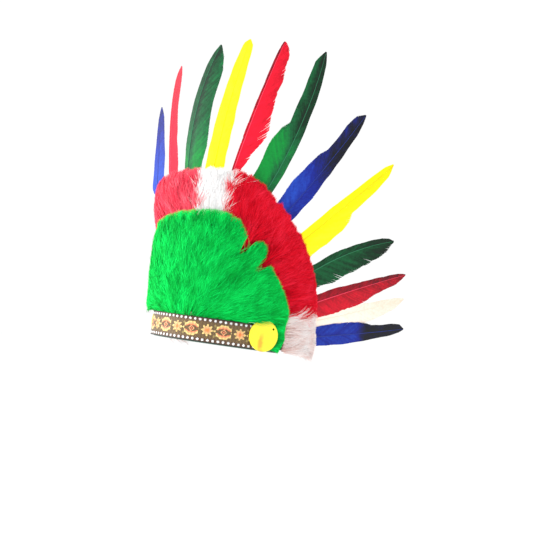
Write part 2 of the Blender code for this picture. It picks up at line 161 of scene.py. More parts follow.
def wrapped(arc, height, offset):
    """Points at arc lengths round the head, heights, and offsets outwards from the head."""
    arc, height, offset = np.broadcast_arrays(arc, height, offset)
    angle = np.interp(arc, ARC_LENGTHS, ARC_ANGLES)
    outward_x = np.sin(angle) / ARC_HALF_WIDTH
    outward_y = -np.cos(angle) / ARC_HALF_DEPTH
    length = np.hypot(outward_x, outward_y)
    rise = np.maximum(height - BAND_HEIGHT, 0.0)
    out = offset - QUILL_LAYER + math.sin(FAN_LEAN) * rise * rise / (rise + FAN_LEAN_START)
    return np.stack([
        ARC_HALF_WIDTH * np.sin(angle) + outward_x / length * out,
        -ARC_HALF_DEPTH * np.cos(angle) + outward_y / length * out,
        height,
    ], -1)


def read_all(items, name, width, kind=float):
    """A value of all the vertices, corners or faces of a mesh, as an array of rows."""
    values = np.empty(len(items) * width, kind)
    items.foreach_get(name, values)
    return values.reshape(-1, width) if width > 1 else values


def write_all(items, name, values):
    """Writes a value of all the vertices, corners or faces of a mesh from an array."""
    items.foreach_set(name, np.ascontiguousarray(values, dtype=np.float32).ravel())


def move_vertices(made, places):
    """Puts the vertices of a mesh object at the places of an array."""
    write_all(made.data.vertices, "co", places)
    made.data.update()


def flat_strip(name, length, width, along, across):
    """A flat strip of cloth with its middle at the origin, as a grid in the XY plane.

    Its UV map, in metres, keeps each thread's place when the strip is bent.
    """
    bpy.ops.object.select_all(action="DESELECT")
    bpy.ops.mesh.primitive_grid_add(x_subdivisions=along, y_subdivisions=across, size=1.0)
    made = bpy.context.object
    made.name = name
    made.scale = (length, width, 1.0)
    bpy.ops.object.transform_apply(location=False, rotation=False, scale=True)
    places = read_all(made.data.vertices, "co", 3)
    corners = read_all(made.data.loops, "vertex_index", 1, np.int32)
    made.data.uv_layers[0].name = "Threads"
    write_all(made.data.uv_layers[0].data, "uv", places[corners, :2])
    return made


def apply_modifier(made, name, kind, **settings):
    """Adds a modifier to a piece with its settings, and applies it."""
    bpy.ops.object.select_all(action="DESELECT")
    made.select_set(True)
    bpy.context.view_layer.objects.active = made
    modifier = made.modifiers.new(name, kind)
    for setting, value in settings.items():
        setattr(modifier, setting, value)
    bpy.ops.object.modifier_apply(modifier=name)


def add_node(tree, kind, values=None, links=None, stops=(), **settings):
    """Adds a shader node with its settings, its sockets' values and the outputs that feed it.

    A colour ramp takes its stops too, as places and colours. Returns the node's outputs.
    """
    made = tree.nodes.new("ShaderNode" + kind)
    for name, value in settings.items():
        setattr(made, name, value)
    for socket, value in (values or {}).items():
        made.inputs[socket].default_value = value
    for socket, source in (links or {}).items():
        tree.links.new(source, made.inputs[socket])
    if stops:
        elements = made.color_ramp.elements
        for element, (place, colour) in zip(elements[:2], (stops[0], stops[-1])):
            element.position = place
            element.color = linear(colour)
        for place, colour in stops[1:-1]:
            elements.new(place).color = linear(colour)
    return made.outputs


def feed_shader(tree, shader, colour, height=None, strength=0.0, depth=0.0):
    """Gives a shader its colour and, from a height, the relief of its surface."""
    tree.links.new(colour, shader.inputs["Base Color"])
    if height is not None:
        amounts = {"Strength": strength, "Distance": depth}
        relief = add_node(tree, "Bump", amounts, {"Height": height})
        tree.links.new(relief[0], shader.inputs["Normal"])


fold_radius = (FELT_OUTER - FELT_THICKNESS) / 2
wall_height = BAND_HEIGHT - FELT_THICKNESS / 2 - fold_radius
half_girth = wall_height + math.pi * fold_radius / 2
felt = flat_strip("folded_felt_band", 2 * BAND_REACH, 2 * half_girth, *FELT_STEPS)
flat = read_all(felt.data.vertices, "co", 3)
past_wall = np.clip(half_girth - np.abs(flat[:, 1]), 0.0, None)
turn = np.clip((past_wall - wall_height) / fold_radius, 0.0, math.pi / 2)
height = np.where(
    past_wall < wall_height,
    BAND_HEIGHT - past_wall,
    BAND_HEIGHT - wall_height - fold_radius * np.sin(turn),
)
offset = FELT_OUTER / 2 + np.sign(flat[:, 1]) * fold_radius * np.cos(turn)
move_vertices(felt, wrapped(flat[:, 0], height, offset))
apply_modifier(felt, "wall", "SOLIDIFY", thickness=FELT_THICKNESS, offset=0.0)
apply_modifier(felt, "soft edges", "BEVEL", width=FELT_EDGE, segments=2, limit_method="ANGLE")
bpy.ops.object.shade_smooth()

# Pressed acrylic felt: matt, with short fibres lying every way and a faint bloom
felt_cloth, tree, shader = new_material(
    "pressed acrylic felt, dark green", Roughness=0.95, Sheen_Weight=0.35, Sheen_Roughness=0.5
)
place = add_node(tree, "TexCoord")["Object"]
clumps = add_node(
    tree, "TexNoise", {"Scale": 260.0, "Detail": 3.0, "Roughness": 0.6}, {"Vector": place}
)["Fac"]
fibres = add_node(
    tree, "TexNoise", {"Scale": 1900.0, "Detail": 4.0, "Distortion": 2.5}, {"Vector": place}
)["Fac"]
tone = add_node(tree, "Mix", {"Factor": 0.5}, {"A": clumps, "B": fibres}, data_type="FLOAT")[0]
ramp = add_node(tree, "ValToRGB", links={"Fac": tone}, stops=((0.30, "#0E3322"), (0.72, "#2B6B4A")))
feed_shader(tree, shader, ramp["Color"], fibres, 0.7, 0.0004)
felt.data.materials.append(felt_cloth)
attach(felt, "root")
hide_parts("felt_band")


# Rear elastic: a flat black braided elastic that closes the band behind the head. Its
# ends lie inside the felt and are sewn there. Rubber cords under the yarn make its ribs.
ELASTIC_HEIGHT = 0.0200
ELASTIC_THICKNESS = 0.0012
ELASTIC_LAP = 0.0130
ELASTIC_MIDDLE = -0.0009
ELASTIC_RIBS = 10
RIB_STEPS = 4
ELASTIC_STEPS = 150
RIB_DEPTH = 0.00022

elastic_start = BAND_REACH - ELASTIC_LAP
elastic_length = FULL_ROUND - 2 * elastic_start
elastic = flat_strip(
    "braided_rear_elastic", elastic_length, ELASTIC_HEIGHT, ELASTIC_STEPS, ELASTIC_RIBS * RIB_STEPS
)
between_ribs = ELASTIC_THICKNESS - 2 * RIB_DEPTH
apply_modifier(elastic, "braid", "SOLIDIFY", thickness=between_ribs, offset=0.0)
solid = read_all(elastic.data.vertices, "co", 3)
rib = np.abs(np.sin(math.pi * ELASTIC_RIBS * (solid[:, 1] / ELASTIC_HEIGHT + 0.5)))
solid[:, 2] += np.sign(solid[:, 2]) * RIB_DEPTH * rib
move_vertices(elastic, wrapped(
    FULL_ROUND / 2 + solid[:, 0], BAND_HEIGHT / 2 + solid[:, 1], ELASTIC_MIDDLE + solid[:, 2]
))
bpy.ops.object.shade_smooth()

# Braided polyester over rubber: matt black yarn whose short floats cross the ribs
YARN_SPACING = 0.0008
elastic_braid, tree, shader = new_material(
    "braided polyester elastic, black", Roughness=0.8, Sheen_Weight=0.2
)
threads = add_node(tree, "UVMap", uv_map="Threads")[0]
floats = add_node(
    tree, "TexWave", {"Scale": 1 / YARN_SPACING / 20, "Distortion": 1.5},
    {"Vector": threads}, wave_type="BANDS", bands_direction="DIAGONAL",
)["Fac"]
ramp = add_node(tree, "ValToRGB", links={"Fac": floats}, stops=((0.0, "#0B0B0C"), (1.0, "#2C2C2F")))
feed_shader(tree, shader, ramp["Color"], floats, 0.5, 0.0002)
elastic.data.materials.append(elastic_braid)
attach(elastic, "root")
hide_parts("rear_elastic")


# Quill feathers: seventeen goose wing feathers, dyed and set in a fan. A bare quill runs
# up from the felt behind the plumage, then barbs lie side by side along it as a vane.
FAN_SHIFT = 0.0090
FAN_LEAVES_HEAD = 0.1240
POCKET_INNER = 0.0015
POCKET_OUTER = 0.0041
QUILL_RADIUS = 0.0013
QUILL_SPREAD = 0.0800
QUILL_ROOT_HEIGHT = 0.0200
QUILL_ROOT_DROP = 0.0130
VANE_START = 0.1270
VANE_WIDTH = 0.0300
VANE_THICKNESS = 0.00115
FEATHER_REACH = 0.3000
FEATHER_FREE_FROM = 0.1800
FLARE_FROM = 0.1440
FLARE_LENGTH = 0.0400
FLARE_EASES = 0.7
ROUNDED_FROM = 0.955
BARB_SPACING = 0.00080
BARB_TILT = math.radians(9.0)
SHAFT_START_RADIUS = 0.00075
SHAFT_TIP_RADIUS = 0.00020
SHAFT_SIDES = 8
BARE_STATIONS = 14
VANE_STATIONS = 26
WIDE_BARB_SLANT = math.radians(34.0)
NARROW_BARB_SLANT = math.radians(24.0)
BARB_RIDGE = 0.00010
BARB_ROOT = 0.0002
BARB_DROOP = -0.10
BARB_LIFT = 0.00006
GROUP_LIFT = 0.0006
PROBE = 0.001
DRIFT_WAVES = 7

# Vane outlines, in shares of the vane's length and of its narrow and wide half
VANE_OUTLINES = {
    # way along the vane, narrow side, wide side
    "plain": (
        (0.00, 0.35, 0.30), (0.14, 0.75, 0.72), (0.35, 1.00, 1.00), (0.60, 0.95, 0.93),
        (0.80, 0.74, 0.70), (0.92, 0.52, 0.48), (1.00, 0.12, 0.10),
    ),
    "tapered": (
        (0.00, 0.40, 0.35), (0.16, 0.85, 0.78), (0.38, 1.00, 1.00), (0.58, 0.75, 0.86),
        (0.74, 0.62, 0.58), (0.92, 0.44, 0.38), (1.00, 0.12, 0.10),
    ),
    "notched": (
        (0.00, 0.35, 0.40), (0.16, 0.80, 0.85), (0.36, 1.00, 1.00), (0.50, 1.00, 0.96),
        (0.57, 0.96, 0.84), (0.61, 0.92, 0.56), (0.84, 0.74, 0.48), (0.94, 0.50, 0.36),
        (1.00, 0.12, 0.10),
    ),
    "full": (
        (0.00, 0.40, 0.40), (0.20, 0.90, 0.80), (0.42, 1.00, 1.00), (0.56, 0.85, 0.92),
        (0.64, 0.78, 0.78), (0.69, 0.72, 0.58), (0.88, 0.52, 0.56), (0.96, 0.28, 0.44),
        (1.00, 0.10, 0.15),
    ),
    "ragged": (
        (0.00, 0.60, 0.20), (0.30, 0.80, 0.32), (0.40, 0.90, 0.64), (0.50, 1.00, 1.00),
        (0.62, 1.00, 0.78), (0.86, 0.95, 0.56), (0.95, 0.80, 0.46), (1.00, 0.30, 0.22),
    ),
    "round": (
        (0.00, 0.35, 0.35), (0.20, 0.80, 0.72), (0.42, 1.00, 1.00), (0.64, 1.00, 0.88),
        (0.88, 0.80, 0.66), (0.95, 0.52, 0.42), (1.00, 0.15, 0.12),
    ),
    "blunt": (
        (0.00, 0.40, 0.40), (0.20, 0.95, 0.98), (0.45, 0.98, 1.00), (0.75, 0.76, 0.72),
        (0.92, 0.58, 0.54), (0.98, 0.46, 0.44), (1.00, 0.22, 0.20),
    ),
}


def fan_point(turn, radius, offset):
    """Points of the fan at angles from upright and radii. Past the head it runs on straight."""
    turn, radius, offset = np.broadcast_arrays(turn, radius, offset)
    on_head = np.minimum(radius, FAN_LEAVES_HEAD)
    point = wrapped(FAN_SHIFT + on_head * np.sin(turn), on_head * np.cos(turn), offset)
    step = 0.0003
    ends = []
    for reach in (FAN_LEAVES_HEAD - step, FAN_LEAVES_HEAD):
        ends.append(wrapped(FAN_SHIFT + reach * np.sin(turn), reach * np.cos(turn), QUILL_LAYER))
    return point + (ends[1] - ends[0]) / step * (radius - on_head)[..., None]


def flat_point(place, offset):
    """Points of the fan from flat places, across and up from the fan's centre."""
    return fan_point(
        np.arctan2(place[..., 0], place[..., 1]), np.hypot(place[..., 0], place[..., 1]), offset
    )


def eased(value):
    """Ease from 0 to 1."""
    held = np.clip(value, 0.0, 1.0)
    return held * held * (3.0 - 2.0 * held)


def unit(vectors):
    """Vectors brought to length one."""
    return vectors / np.maximum(np.linalg.norm(vectors, axis=-1, keepdims=True), 1e-12)


def drift(across, up, wave, rng):
    """Smooth noise about 0, with waves of about this length, at flat places."""
    total = 0.0
    for _ in range(DRIFT_WAVES):
        turn, phase = rng.uniform(0.0, 2 * math.pi, 2)
        length = wave * rng.uniform(0.6, 1.5)
        along = across * math.cos(turn) + up * math.sin(turn)
        total = total + np.sin(2 * math.pi * along / length + phase)
    return total / DRIFT_WAVES ** 0.5


def mesh_piece(name, parts, material, own_share):
    """A piece from parts, each with its points, its faces in blocks, and for each point a UV,
    a guide direction and, in feathers, a shade.

    Its faces are shaded along the guides, with a share of their own, so that many thin barbs
    take the light as one soft surface.
    """
    points, blocks, uvs, guides, *shades = zip(*parts)
    firsts = np.cumsum([0] + [len(part) for part in points])
    faces = [
        tuple(face) for first, part in zip(firsts, blocks)
        for block in part for face in (first + block).tolist()
    ]
    mesh = bpy.data.meshes.new(name)
    mesh.from_pydata(np.concatenate(points), [], faces)
    mesh.uv_layers.new(name="OFBake")
    corners = read_all(mesh.loops, "vertex_index", 1, np.int32)
    write_all(mesh.uv_layers[0].data, "uv", np.concatenate(uvs)[corners])
    for shade in shades:
        tones = mesh.attributes.new("shade", "FLOAT", "POINT")
        write_all(tones.data, "value", np.concatenate(shade))
    mesh.shade_smooth()
    sizes = read_all(mesh.polygons, "loop_total", 1, np.int32)
    own = np.repeat(read_all(mesh.polygons, "normal", 3), sizes, axis=0)
    towards = np.concatenate(guides)[corners]
    facing = np.where(np.sum(own * towards, axis=1, keepdims=True) < 0.0, -1.0, 1.0)
    mesh.normals_split_custom_set(unit(towards * facing + own_share * own).tolist())
    mesh.materials.append(material)
    made = bpy.data.objects.new(name, mesh)
    bpy.context.scene.collection.objects.link(made)
    return made


def tube_faces(rows, around):
    """Faces of a tube of points, row after row, with both its ends filled."""
    ring = np.arange(around)
    after = (ring + 1) % around
    belt = np.stack([ring, after, after + around, ring + around], 1)
    walls = [row * around + belt for row in range(rows - 1)]
    return walls + [ring[None, ::-1], (rows - 1) * around + ring[None, :]]


def blades(middle, half, ridge):
    """Points and faces of thin pointed blades with a raised ridge.

    middle, half and ridge are (blades, stations, 3), and the last station is a point.
    """
    rings = np.stack([middle - half, middle + ridge, middle + half], 2)[:, :-1]
    count, stations = rings.shape[:2]
    points = np.concatenate([rings.reshape(count, -1, 3), middle[:, -1:]], 1)
    size = points.shape[1]
    *walls, foot, _ = tube_faces(stations, 3)
    last = size - 4
    tips = [(last, last + 1, size - 1), (last + 1, last + 2, size - 1), (last + 2, last, size - 1)]
    first = np.arange(count)[:, None, None] * size
    quads = (first + np.concatenate(walls)).reshape(-1, 4)
    triangles = (first + np.concatenate([tips, foot])).reshape(-1, 3)
    return points.reshape(-1, 3), (quads, triangles)


def quill_places(root_angle, count):
    """Flat places of the quill from the band's pocket to where the vane starts."""
    root = math.radians(root_angle)
    share = root_angle / 90.0
    foot = np.array([
        QUILL_SPREAD * share - FAN_SHIFT, QUILL_ROOT_HEIGHT - QUILL_ROOT_DROP * share * share
    ])
    way_out = np.array([math.sin(root), math.cos(root)])
    top = way_out * VANE_START
    reach = np.linalg.norm(top - foot) / 3
    t = np.linspace(0.0, 1.0, count, endpoint=False)[:, None]
    after_foot = foot + (top - foot) / 3
    before_top = top - way_out * reach
    return (
        foot * (1 - t) ** 3 + after_foot * 3 * t * (1 - t) ** 2
        + before_top * 3 * t * t * (1 - t) + top * t ** 3
    )


# Barb shape: way along the barb, and half width as a share of the spacing
BARB_WAYS = np.array([0.0, 0.36, 0.72, 0.96, 1.0])
BARB_WIDTHS = np.array([0.60, 0.66, 0.64, 0.50, 0.0])


def quill_feather(name, material, shape, finish, lift_and_twist):
    """One feather: a shaft from the band to the tip, and its barbs as separate blades."""
    root_angle, tip_lean, reach, width, narrow_share, side, outline, layer = shape
    base, top, dark_from, dark_to, narrow_extra, streak, rag = finish
    flare, twist = lift_and_twist
    rng = np.random.default_rng(int(name.split("_")[1]))
    layer_offset = POCKET_OUTER - VANE_THICKNESS / 2 if layer else POCKET_INNER + VANE_THICKNESS / 2
    tip = FEATHER_REACH * reach
    length = tip - VANE_START

    def centre(way):
        radius = VANE_START + length * way
        free = np.clip((radius - FEATHER_FREE_FROM) / (tip - FEATHER_FREE_FROM), 0.0, None)
        turn = np.radians(root_angle + tip_lean * free ** 1.5)
        return np.stack([np.sin(turn), np.cos(turn)], -1) * radius[..., None]

    def vane_point(way, sideways, lift):
        here = centre(way)
        ahead = centre(way + 0.002)
        along = unit(ahead - here)
        across = np.stack([along[..., 1], -along[..., 0]], -1)
        loose = eased((VANE_START + length * way - FLARE_FROM) / FLARE_LENGTH)
        roll = np.radians(twist) * loose
        x = sideways * np.cos(roll) - lift * side * np.sin(roll)
        out = lift * np.cos(roll) + sideways * side * np.sin(roll)
        lifted = flare * loose * (1.0 - FLARE_EASES * np.clip(way, 0.0, 1.0) ** 2)
        return flat_point(here + across * x[..., None], layer_offset + lifted + out)

    parts = []
    ways, narrow, wide = (np.array(column) for column in zip(*VANE_OUTLINES[outline]))
    for hand in (-1, 1):
        on_wide = hand == side
        share, row = (1.0 - narrow_share, wide) if on_wide else (narrow_share, narrow)
        widest = VANE_WIDTH * width * share
        slant = WIDE_BARB_SLANT if on_wide else NARROW_BARB_SLANT
        count = int(length / BARB_SPACING)
        start = (np.arange(count) + 0.5) / count
        half_here = widest * np.interp(start, ways, row)
        end = np.minimum(start + half_here / math.tan(slant) / length, 0.97 + 0.03 * start)
        waves = 1.0 + 0.035 * drift(end * length, 0.0, 0.030, rng)
        reach_out = widest * np.interp(end, ways, row) * waves
        reach_out *= 1.0 - rag * 0.10 * rng.random(count) ** 3
        near_tip = np.clip((end - ROUNDED_FROM) / (1.0 - ROUNDED_FROM), 0.0, 1.0)
        reach_out *= 0.15 + 0.85 * np.sqrt(1.0 - near_tip ** 2)

        # Splits: the barbs of each group lean together and leave a slit beside the next
        cuts = np.sort(rng.random(int(3 + 15 * rag)))
        group = np.searchsorted(cuts, start)
        edges = np.concatenate([[0.0], cuts, [1.0]])
        within = (start - edges[group]) / np.maximum(edges[group + 1] - edges[group], 1e-6) * 2 - 1
        pull = (0.0002 + 0.0008 * rag) * rng.random(len(edges))[group] / length
        reach_out *= 1.0 - rag * 0.22 * rng.random(len(edges))[group] * (0.4 + 0.6 * np.abs(within))
        t = BARB_WAYS[None, :]
        way = start[:, None] + (end - start)[:, None] * (0.75 * t + 0.25 * t * t)
        way = np.minimum(way - (within * pull)[:, None] * t ** 4, 1.0)
        sideways = hand * (BARB_ROOT + reach_out[:, None] * t)
        lift = BARB_DROOP * reach_out[:, None] * t * t
        lift = lift + BARB_LIFT * rng.standard_normal(count)[:, None] * t
        lift = lift + GROUP_LIFT * rag * rng.standard_normal(len(edges))[group][:, None] * t * t
        middle = vane_point(way, sideways, lift)
        outward = unit(vane_point(way, sideways, lift + PROBE) - middle)
        along = unit(np.gradient(middle, axis=1))
        flat_side = unit(np.cross(outward, along))
        half = (flat_side * math.cos(BARB_TILT) + outward * math.sin(BARB_TILT)) * (
            BARB_SPACING * BARB_WIDTHS[None, :, None]
        )
        per_blade = np.concatenate([np.repeat(np.arange(4), 3), [4]])
        beside = np.concatenate([np.tile([-0.45, 0.0, 0.45], 4), [0.0]]) * BARB_SPACING / length
        u = np.clip(way[:, per_blade] + beside, 0.0, 1.0)
        v = 0.5 + hand * (0.03 + 0.44 * (reach_out[:, None] * t / widest)[:, per_blade])

        # Tone: the grey of the wing feather under the dye, along the vane and by its shaft
        dark = eased((way - dark_from) / max(dark_to - dark_from, 0.01))
        tone = base + (top - base) * dark
        if on_wide:
            tone = tone + streak * np.exp(-(sideways / (0.22 * widest)) ** 2)
        else:
            tone = tone + narrow_extra
        cloud = 0.07 * drift(way * length, sideways, 0.012, rng)
        cloud = cloud + 0.05 * drift(way * length, sideways * 0.3, 0.004, rng)
        tone = tone + cloud + 0.03 * rng.standard_normal(count)[:, None]
        parts.append((
            *blades(middle, half, outward * BARB_RIDGE),
            np.stack([u, np.clip(v, 0.01, 0.99)], -1).reshape(-1, 2),
            outward[:, per_blade].reshape(-1, 3),
            np.clip(tone, 0.0, 1.0)[:, per_blade].ravel(),
        ))

    # The shaft: round where it is bare, then finer and finer between the barbs
    bare = quill_places(root_angle, BARE_STATIONS)
    bare_share = np.linspace(0.0, 1.0, BARE_STATIONS, endpoint=False)
    bare_offset = QUILL_LAYER + (layer_offset - QUILL_LAYER) * bare_share
    vane_ways = np.linspace(0.0, 0.99, VANE_STATIONS)
    level = np.zeros(VANE_STATIONS)
    spine = np.concatenate([flat_point(bare, bare_offset), vane_point(vane_ways, level, level)])
    raised = np.concatenate([
        flat_point(bare, bare_offset + PROBE), vane_point(vane_ways, level, level + PROBE)
    ])
    outward = unit(raised - spine)
    sideways = unit(np.cross(outward, np.gradient(spine, axis=0)))
    radius = np.concatenate([
        QUILL_RADIUS + (SHAFT_START_RADIUS - QUILL_RADIUS) * bare_share,
        SHAFT_START_RADIUS + (SHAFT_TIP_RADIUS - SHAFT_START_RADIUS) * vane_ways ** 0.7,
    ])
    round_turn = np.linspace(0.0, 2 * math.pi, SHAFT_SIDES, endpoint=False)
    spokes = (
        outward[:, None] * np.sin(round_turn)[None, :, None]
        + sideways[:, None] * np.cos(round_turn)[None, :, None]
    )
    rings = spine[:, None] + radius[:, None, None] * spokes
    stations = len(spine)
    shaft_u = np.repeat(np.linspace(0.0, 1.0, stations), SHAFT_SIDES)
    shaft_v = np.tile(0.485 + 0.03 * np.arange(SHAFT_SIDES) / SHAFT_SIDES, stations)
    parts.append((
        rings.reshape(-1, 3), tube_faces(stations, SHAFT_SIDES), np.stack([shaft_u, shaft_v], -1),
        spokes.reshape(-1, 3),
        np.repeat([-1.0] * BARE_STATIONS + [-0.5] * VANE_STATIONS, SHAFT_SIDES),
    ))

    made = mesh_piece(name, parts, material, own_share=0.35)
    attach(made, "root")
    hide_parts(name[:-len("_quill")])


def dyed_feather(name, colours, shaft, speckle):
    """Dyed goose quill: silky barbs, darker where the feather was grey, and a paler shaft."""
    made, tree, shader = new_material(name, Roughness=0.55, Specular_IOR_Level=0.18)
    map_node = add_node(tree, "UVMap", uv_map="OFBake")[0]
    shade = add_node(tree, "Attribute", attribute_name="shade")["Fac"]
    place = add_node(tree, "TexCoord")["Object"]
    mottle = add_node(
        tree, "TexNoise", {"Scale": 320.0, "Detail": 4.0, "Roughness": 0.7}, {"Vector": place}
    )["Fac"]
    spread = add_node(
        tree, "MapRange", {"From Min": 0.3, "From Max": 0.7, "To Min": -speckle, "To Max": speckle},
        {"Value": mottle},
    )[0]
    tone = add_node(tree, "Math", links={0: shade, 1: spread}, operation="ADD")[0]
    ramp = add_node(
        tree, "ValToRGB", links={"Fac": tone}, stops=tuple(zip((0.02, 0.40, 0.75, 0.98), colours))
    )
    # Fine lines run out across the vane, one or two to the millimetre
    lines = add_node(
        tree, "TexNoise", {"Scale": 1.0, "Detail": 2.0},
        {"Vector": add_node(
            tree, "Mapping", {"Scale": (300.0, 9.0, 1.0)}, {"Vector": map_node}
        )[0]},
    )["Fac"]
    lined = add_node(
        tree, "MixRGB", {"Fac": 0.30}, {"Color1": ramp["Color"], "Color2": lines},
        blend_type="SOFT_LIGHT",
    )[0]
    is_shaft = add_node(
        tree, "MapRange", {"From Min": -0.2, "From Max": -0.45, "To Min": 0.0, "To Max": 1.0},
        {"Value": shade},
    )[0]
    finished = add_node(
        tree, "MixRGB", {"Color2": linear(shaft)}, {"Fac": is_shaft, "Color1": lined}
    )[0]
    feed_shader(tree, shader, finished, lines, 0.25, 0.0003)
    return made


FEATHER_DYES = {
    # bright, middle, deep and darkest colour, then the shaft's, and the depth of speckle
    "feather_blue": dyed_feather(
        "goose quill, dyed royal blue",
        ("#2048B8", "#14248E", "#161A4A", "#14161C"), "#26368A", 0.10,
    ),
    "feather_red": dyed_feather(
        "goose quill, dyed crimson", ("#FF1436", "#D80A28", "#8E061A", "#500A18"), "#F0405C", 0.10
    ),
    "feather_green": dyed_feather(
        "goose quill, dyed green", ("#009036", "#0E6034", "#04321A", "#141C16"), "#2E7A54", 0.10
    ),
    "feather_yellow": dyed_feather(
        "goose quill, dyed yellow", ("#FFFF20", "#FFF600", "#FADC00", "#E6BC00"), "#F4D800", 0.12
    ),
    "feather_white": dyed_feather(
        "goose quill, bleached", ("#FFF8EE", "#FFEFE0", "#F8DEC8", "#E6C8B0"), "#F6E4D0", 0.12
    ),
}

FEATHERS = (
    # number and colour; then root angle, tip lean, reach, width, narrow side's share of it,
    # wide side, outline and layer; then tone at the foot and at the tip, where it changes from
    # and to, what the narrow side and the strip beside the shaft add to it, and raggedness
    ("01_blue", (-83.0, 1.0, 1.01, 0.85, 0.35, -1, "plain", 0),
     (0.20, 0.90, 0.45, 0.80, 0.15, 0.15, 0.3)),
    ("02_white", (-74.0, 1.0, 1.0, 0.90, 0.30, -1, "plain", 1),
     (0.25, 0.45, 0.40, 1.0, 0.10, 0.10, 0.3)),
    ("03_red", (-64.0, 1.0, 0.98, 0.90, 0.28, -1, "tapered", 0),
     (0.35, 0.50, 0.50, 1.0, 0.20, 0.10, 0.3)),
    ("04_green", (-53.0, 0.5, 0.94, 1.0, 0.25, -1, "round", 1),
     (0.10, 0.50, 0.25, 0.70, 0.20, 0.30, 0.3)),
    ("05_yellow", (-41.0, 0.5, 0.86, 0.90, 0.28, -1, "notched", 0),
     (0.25, 0.35, 0.40, 1.0, 0.10, 0.15, 0.2)),
    ("06_blue", (-25.5, 3.6, 0.90, 0.80, 0.45, -1, "plain", 1),
     (0.00, 0.65, 0.30, 1.10, 0.00, 0.10, 0.0)),
    ("07_red", (-15.2, 7.4, 0.95, 1.0, 0.50, 1, "tapered", 0),
     (0.08, 0.30, 0.30, 1.0, 0.05, 0.05, 0.1)),
    ("08_green", (-4.3, 6.1, 1.0, 0.80, 0.23, 1, "round", 1),
     (0.00, 0.50, 0.16, 0.66, 0.12, 0.38, 0.1)),
    ("09_yellow", (4.6, 2.0, 1.03, 0.62, 0.50, 1, "blunt", 0),
     (0.15, 0.10, 0.40, 1.0, 0.05, 0.00, 0.1)),
    ("10_red", (10.9, 1.2, 1.05, 0.70, 0.10, 1, "ragged", 1),
     (0.25, 0.45, 0.40, 1.0, 0.35, -0.12, 0.5)),
    ("11_green", (22.3, -3.7, 1.075, 0.83, 0.24, -1, "notched", 0),
     (0.04, 0.50, 0.46, 0.64, 0.30, 0.42, 0.1)),
    ("12_blue", (31.9, -1.0, 0.99, 0.90, 0.40, -1, "full", 1),
     (0.12, 0.76, 0.38, 0.74, 0.24, 0.22, 0.2)),
    ("13_yellow", (43.8, -0.6, 0.99, 1.03, 0.26, 1, "notched", 0),
     (0.15, 0.35, 0.40, 1.0, 0.15, 0.40, 0.1)),
    ("14_green", (56.4, 3.7, 0.935, 1.13, 0.21, 1, "round", 1),
     (0.60, 0.88, 0.50, 1.0, 0.05, -0.10, 0.35)),
    ("15_red", (68.8, 0.6, 1.02, 1.08, 0.28, 1, "tapered", 1),
     (0.48, 0.62, 0.40, 1.0, 0.28, 0.15, 0.3)),
    ("16_white", (76.0, -1.0, 1.04, 0.90, 0.30, 1, "plain", 0),
     (0.35, 0.55, 0.40, 1.0, 0.10, 0.10, 0.4)),
    ("17_blue", (82.0, -0.4, 1.06, 0.83, 0.44, -1, "full", 1),
     (0.30, 0.98, 0.52, 0.66, 0.02, 0.12, 0.3)),
)
LIFTED = {
    # how far the feather is lifted off the fan, and its twist
    "06_blue": (0.0100, 34.0),
}
for label, shape, finish in FEATHERS:
    dye = "feather_" + label.split("_")[1]
    quill_feather(
        "feather_" + label + "_quill", FEATHER_DYES[dye], shape, finish,
        LIFTED.get(label, (0.0, 0.0)),
    )


# Outer ring of fluff: dyed marabou in red and white sections, whose feet are hidden behind
# the green. Its soft strands lie over a core of packed down and sweep up and out.
GREEN_RADIUS = 0.1330
RING_RADIUS = 0.1780
RING_ROOT = 0.0900
RING_INNER = 0.0049
RING_THICKNESS = 0.0095
RING_OVER_BAND = 0.0050
TUFT_DEPTH = 0.0010
PAILLETTE_ARC = 0.0930
PAILLETTE_HEIGHT = 0.0158
PAILLETTE_CLEAR = 0.0168
GREEN_PAST_DISC = 0.0040
GREEN_LEAST = 0.0070

# Outline of the two rows of plumage, in shares of their radii. Two slits part the green
OUTLINE = np.array((
    # angle, green, ring
    (-98.0, 0.90, 0.93), (-75.0, 0.98, 0.99), (-55.0, 0.91, 0.97), (-38.0, 0.93, 0.96),
    (-25.0, 0.97, 0.97), (-10.0, 0.97, 0.97), (0.0, 0.99, 0.975), (8.0, 1.02, 1.00),
    (14.0, 1.035, 1.015), (20.0, 1.02, 1.00), (25.8, 0.94, 0.96), (27.0, 0.82, 0.955),
    (28.6, 0.80, 0.955), (29.6, 0.94, 0.95), (31.5, 0.975, 0.94), (35.5, 0.965, 0.925),
    (37.8, 0.93, 0.92), (38.9, 0.78, 0.915), (40.8, 0.77, 0.915), (42.0, 0.89, 0.91),
    (50.0, 0.875, 0.895), (67.0, 0.88, 0.885), (76.0, 0.83, 0.87), (84.0, 0.79, 0.875),
    (96.0, 0.75, 0.86),
))


def past_band(turn, half_length, height):
    """Radius at which a line at this angle leaves the band's upright rectangle."""
    over_top = np.where(np.cos(turn) > 0.0, height / np.maximum(np.cos(turn), 1e-6), np.inf)
    past_end = (half_length - np.copysign(FAN_SHIFT, turn)) / np.maximum(np.abs(np.sin(turn)), 1e-6)
    return np.minimum(over_top, past_end)


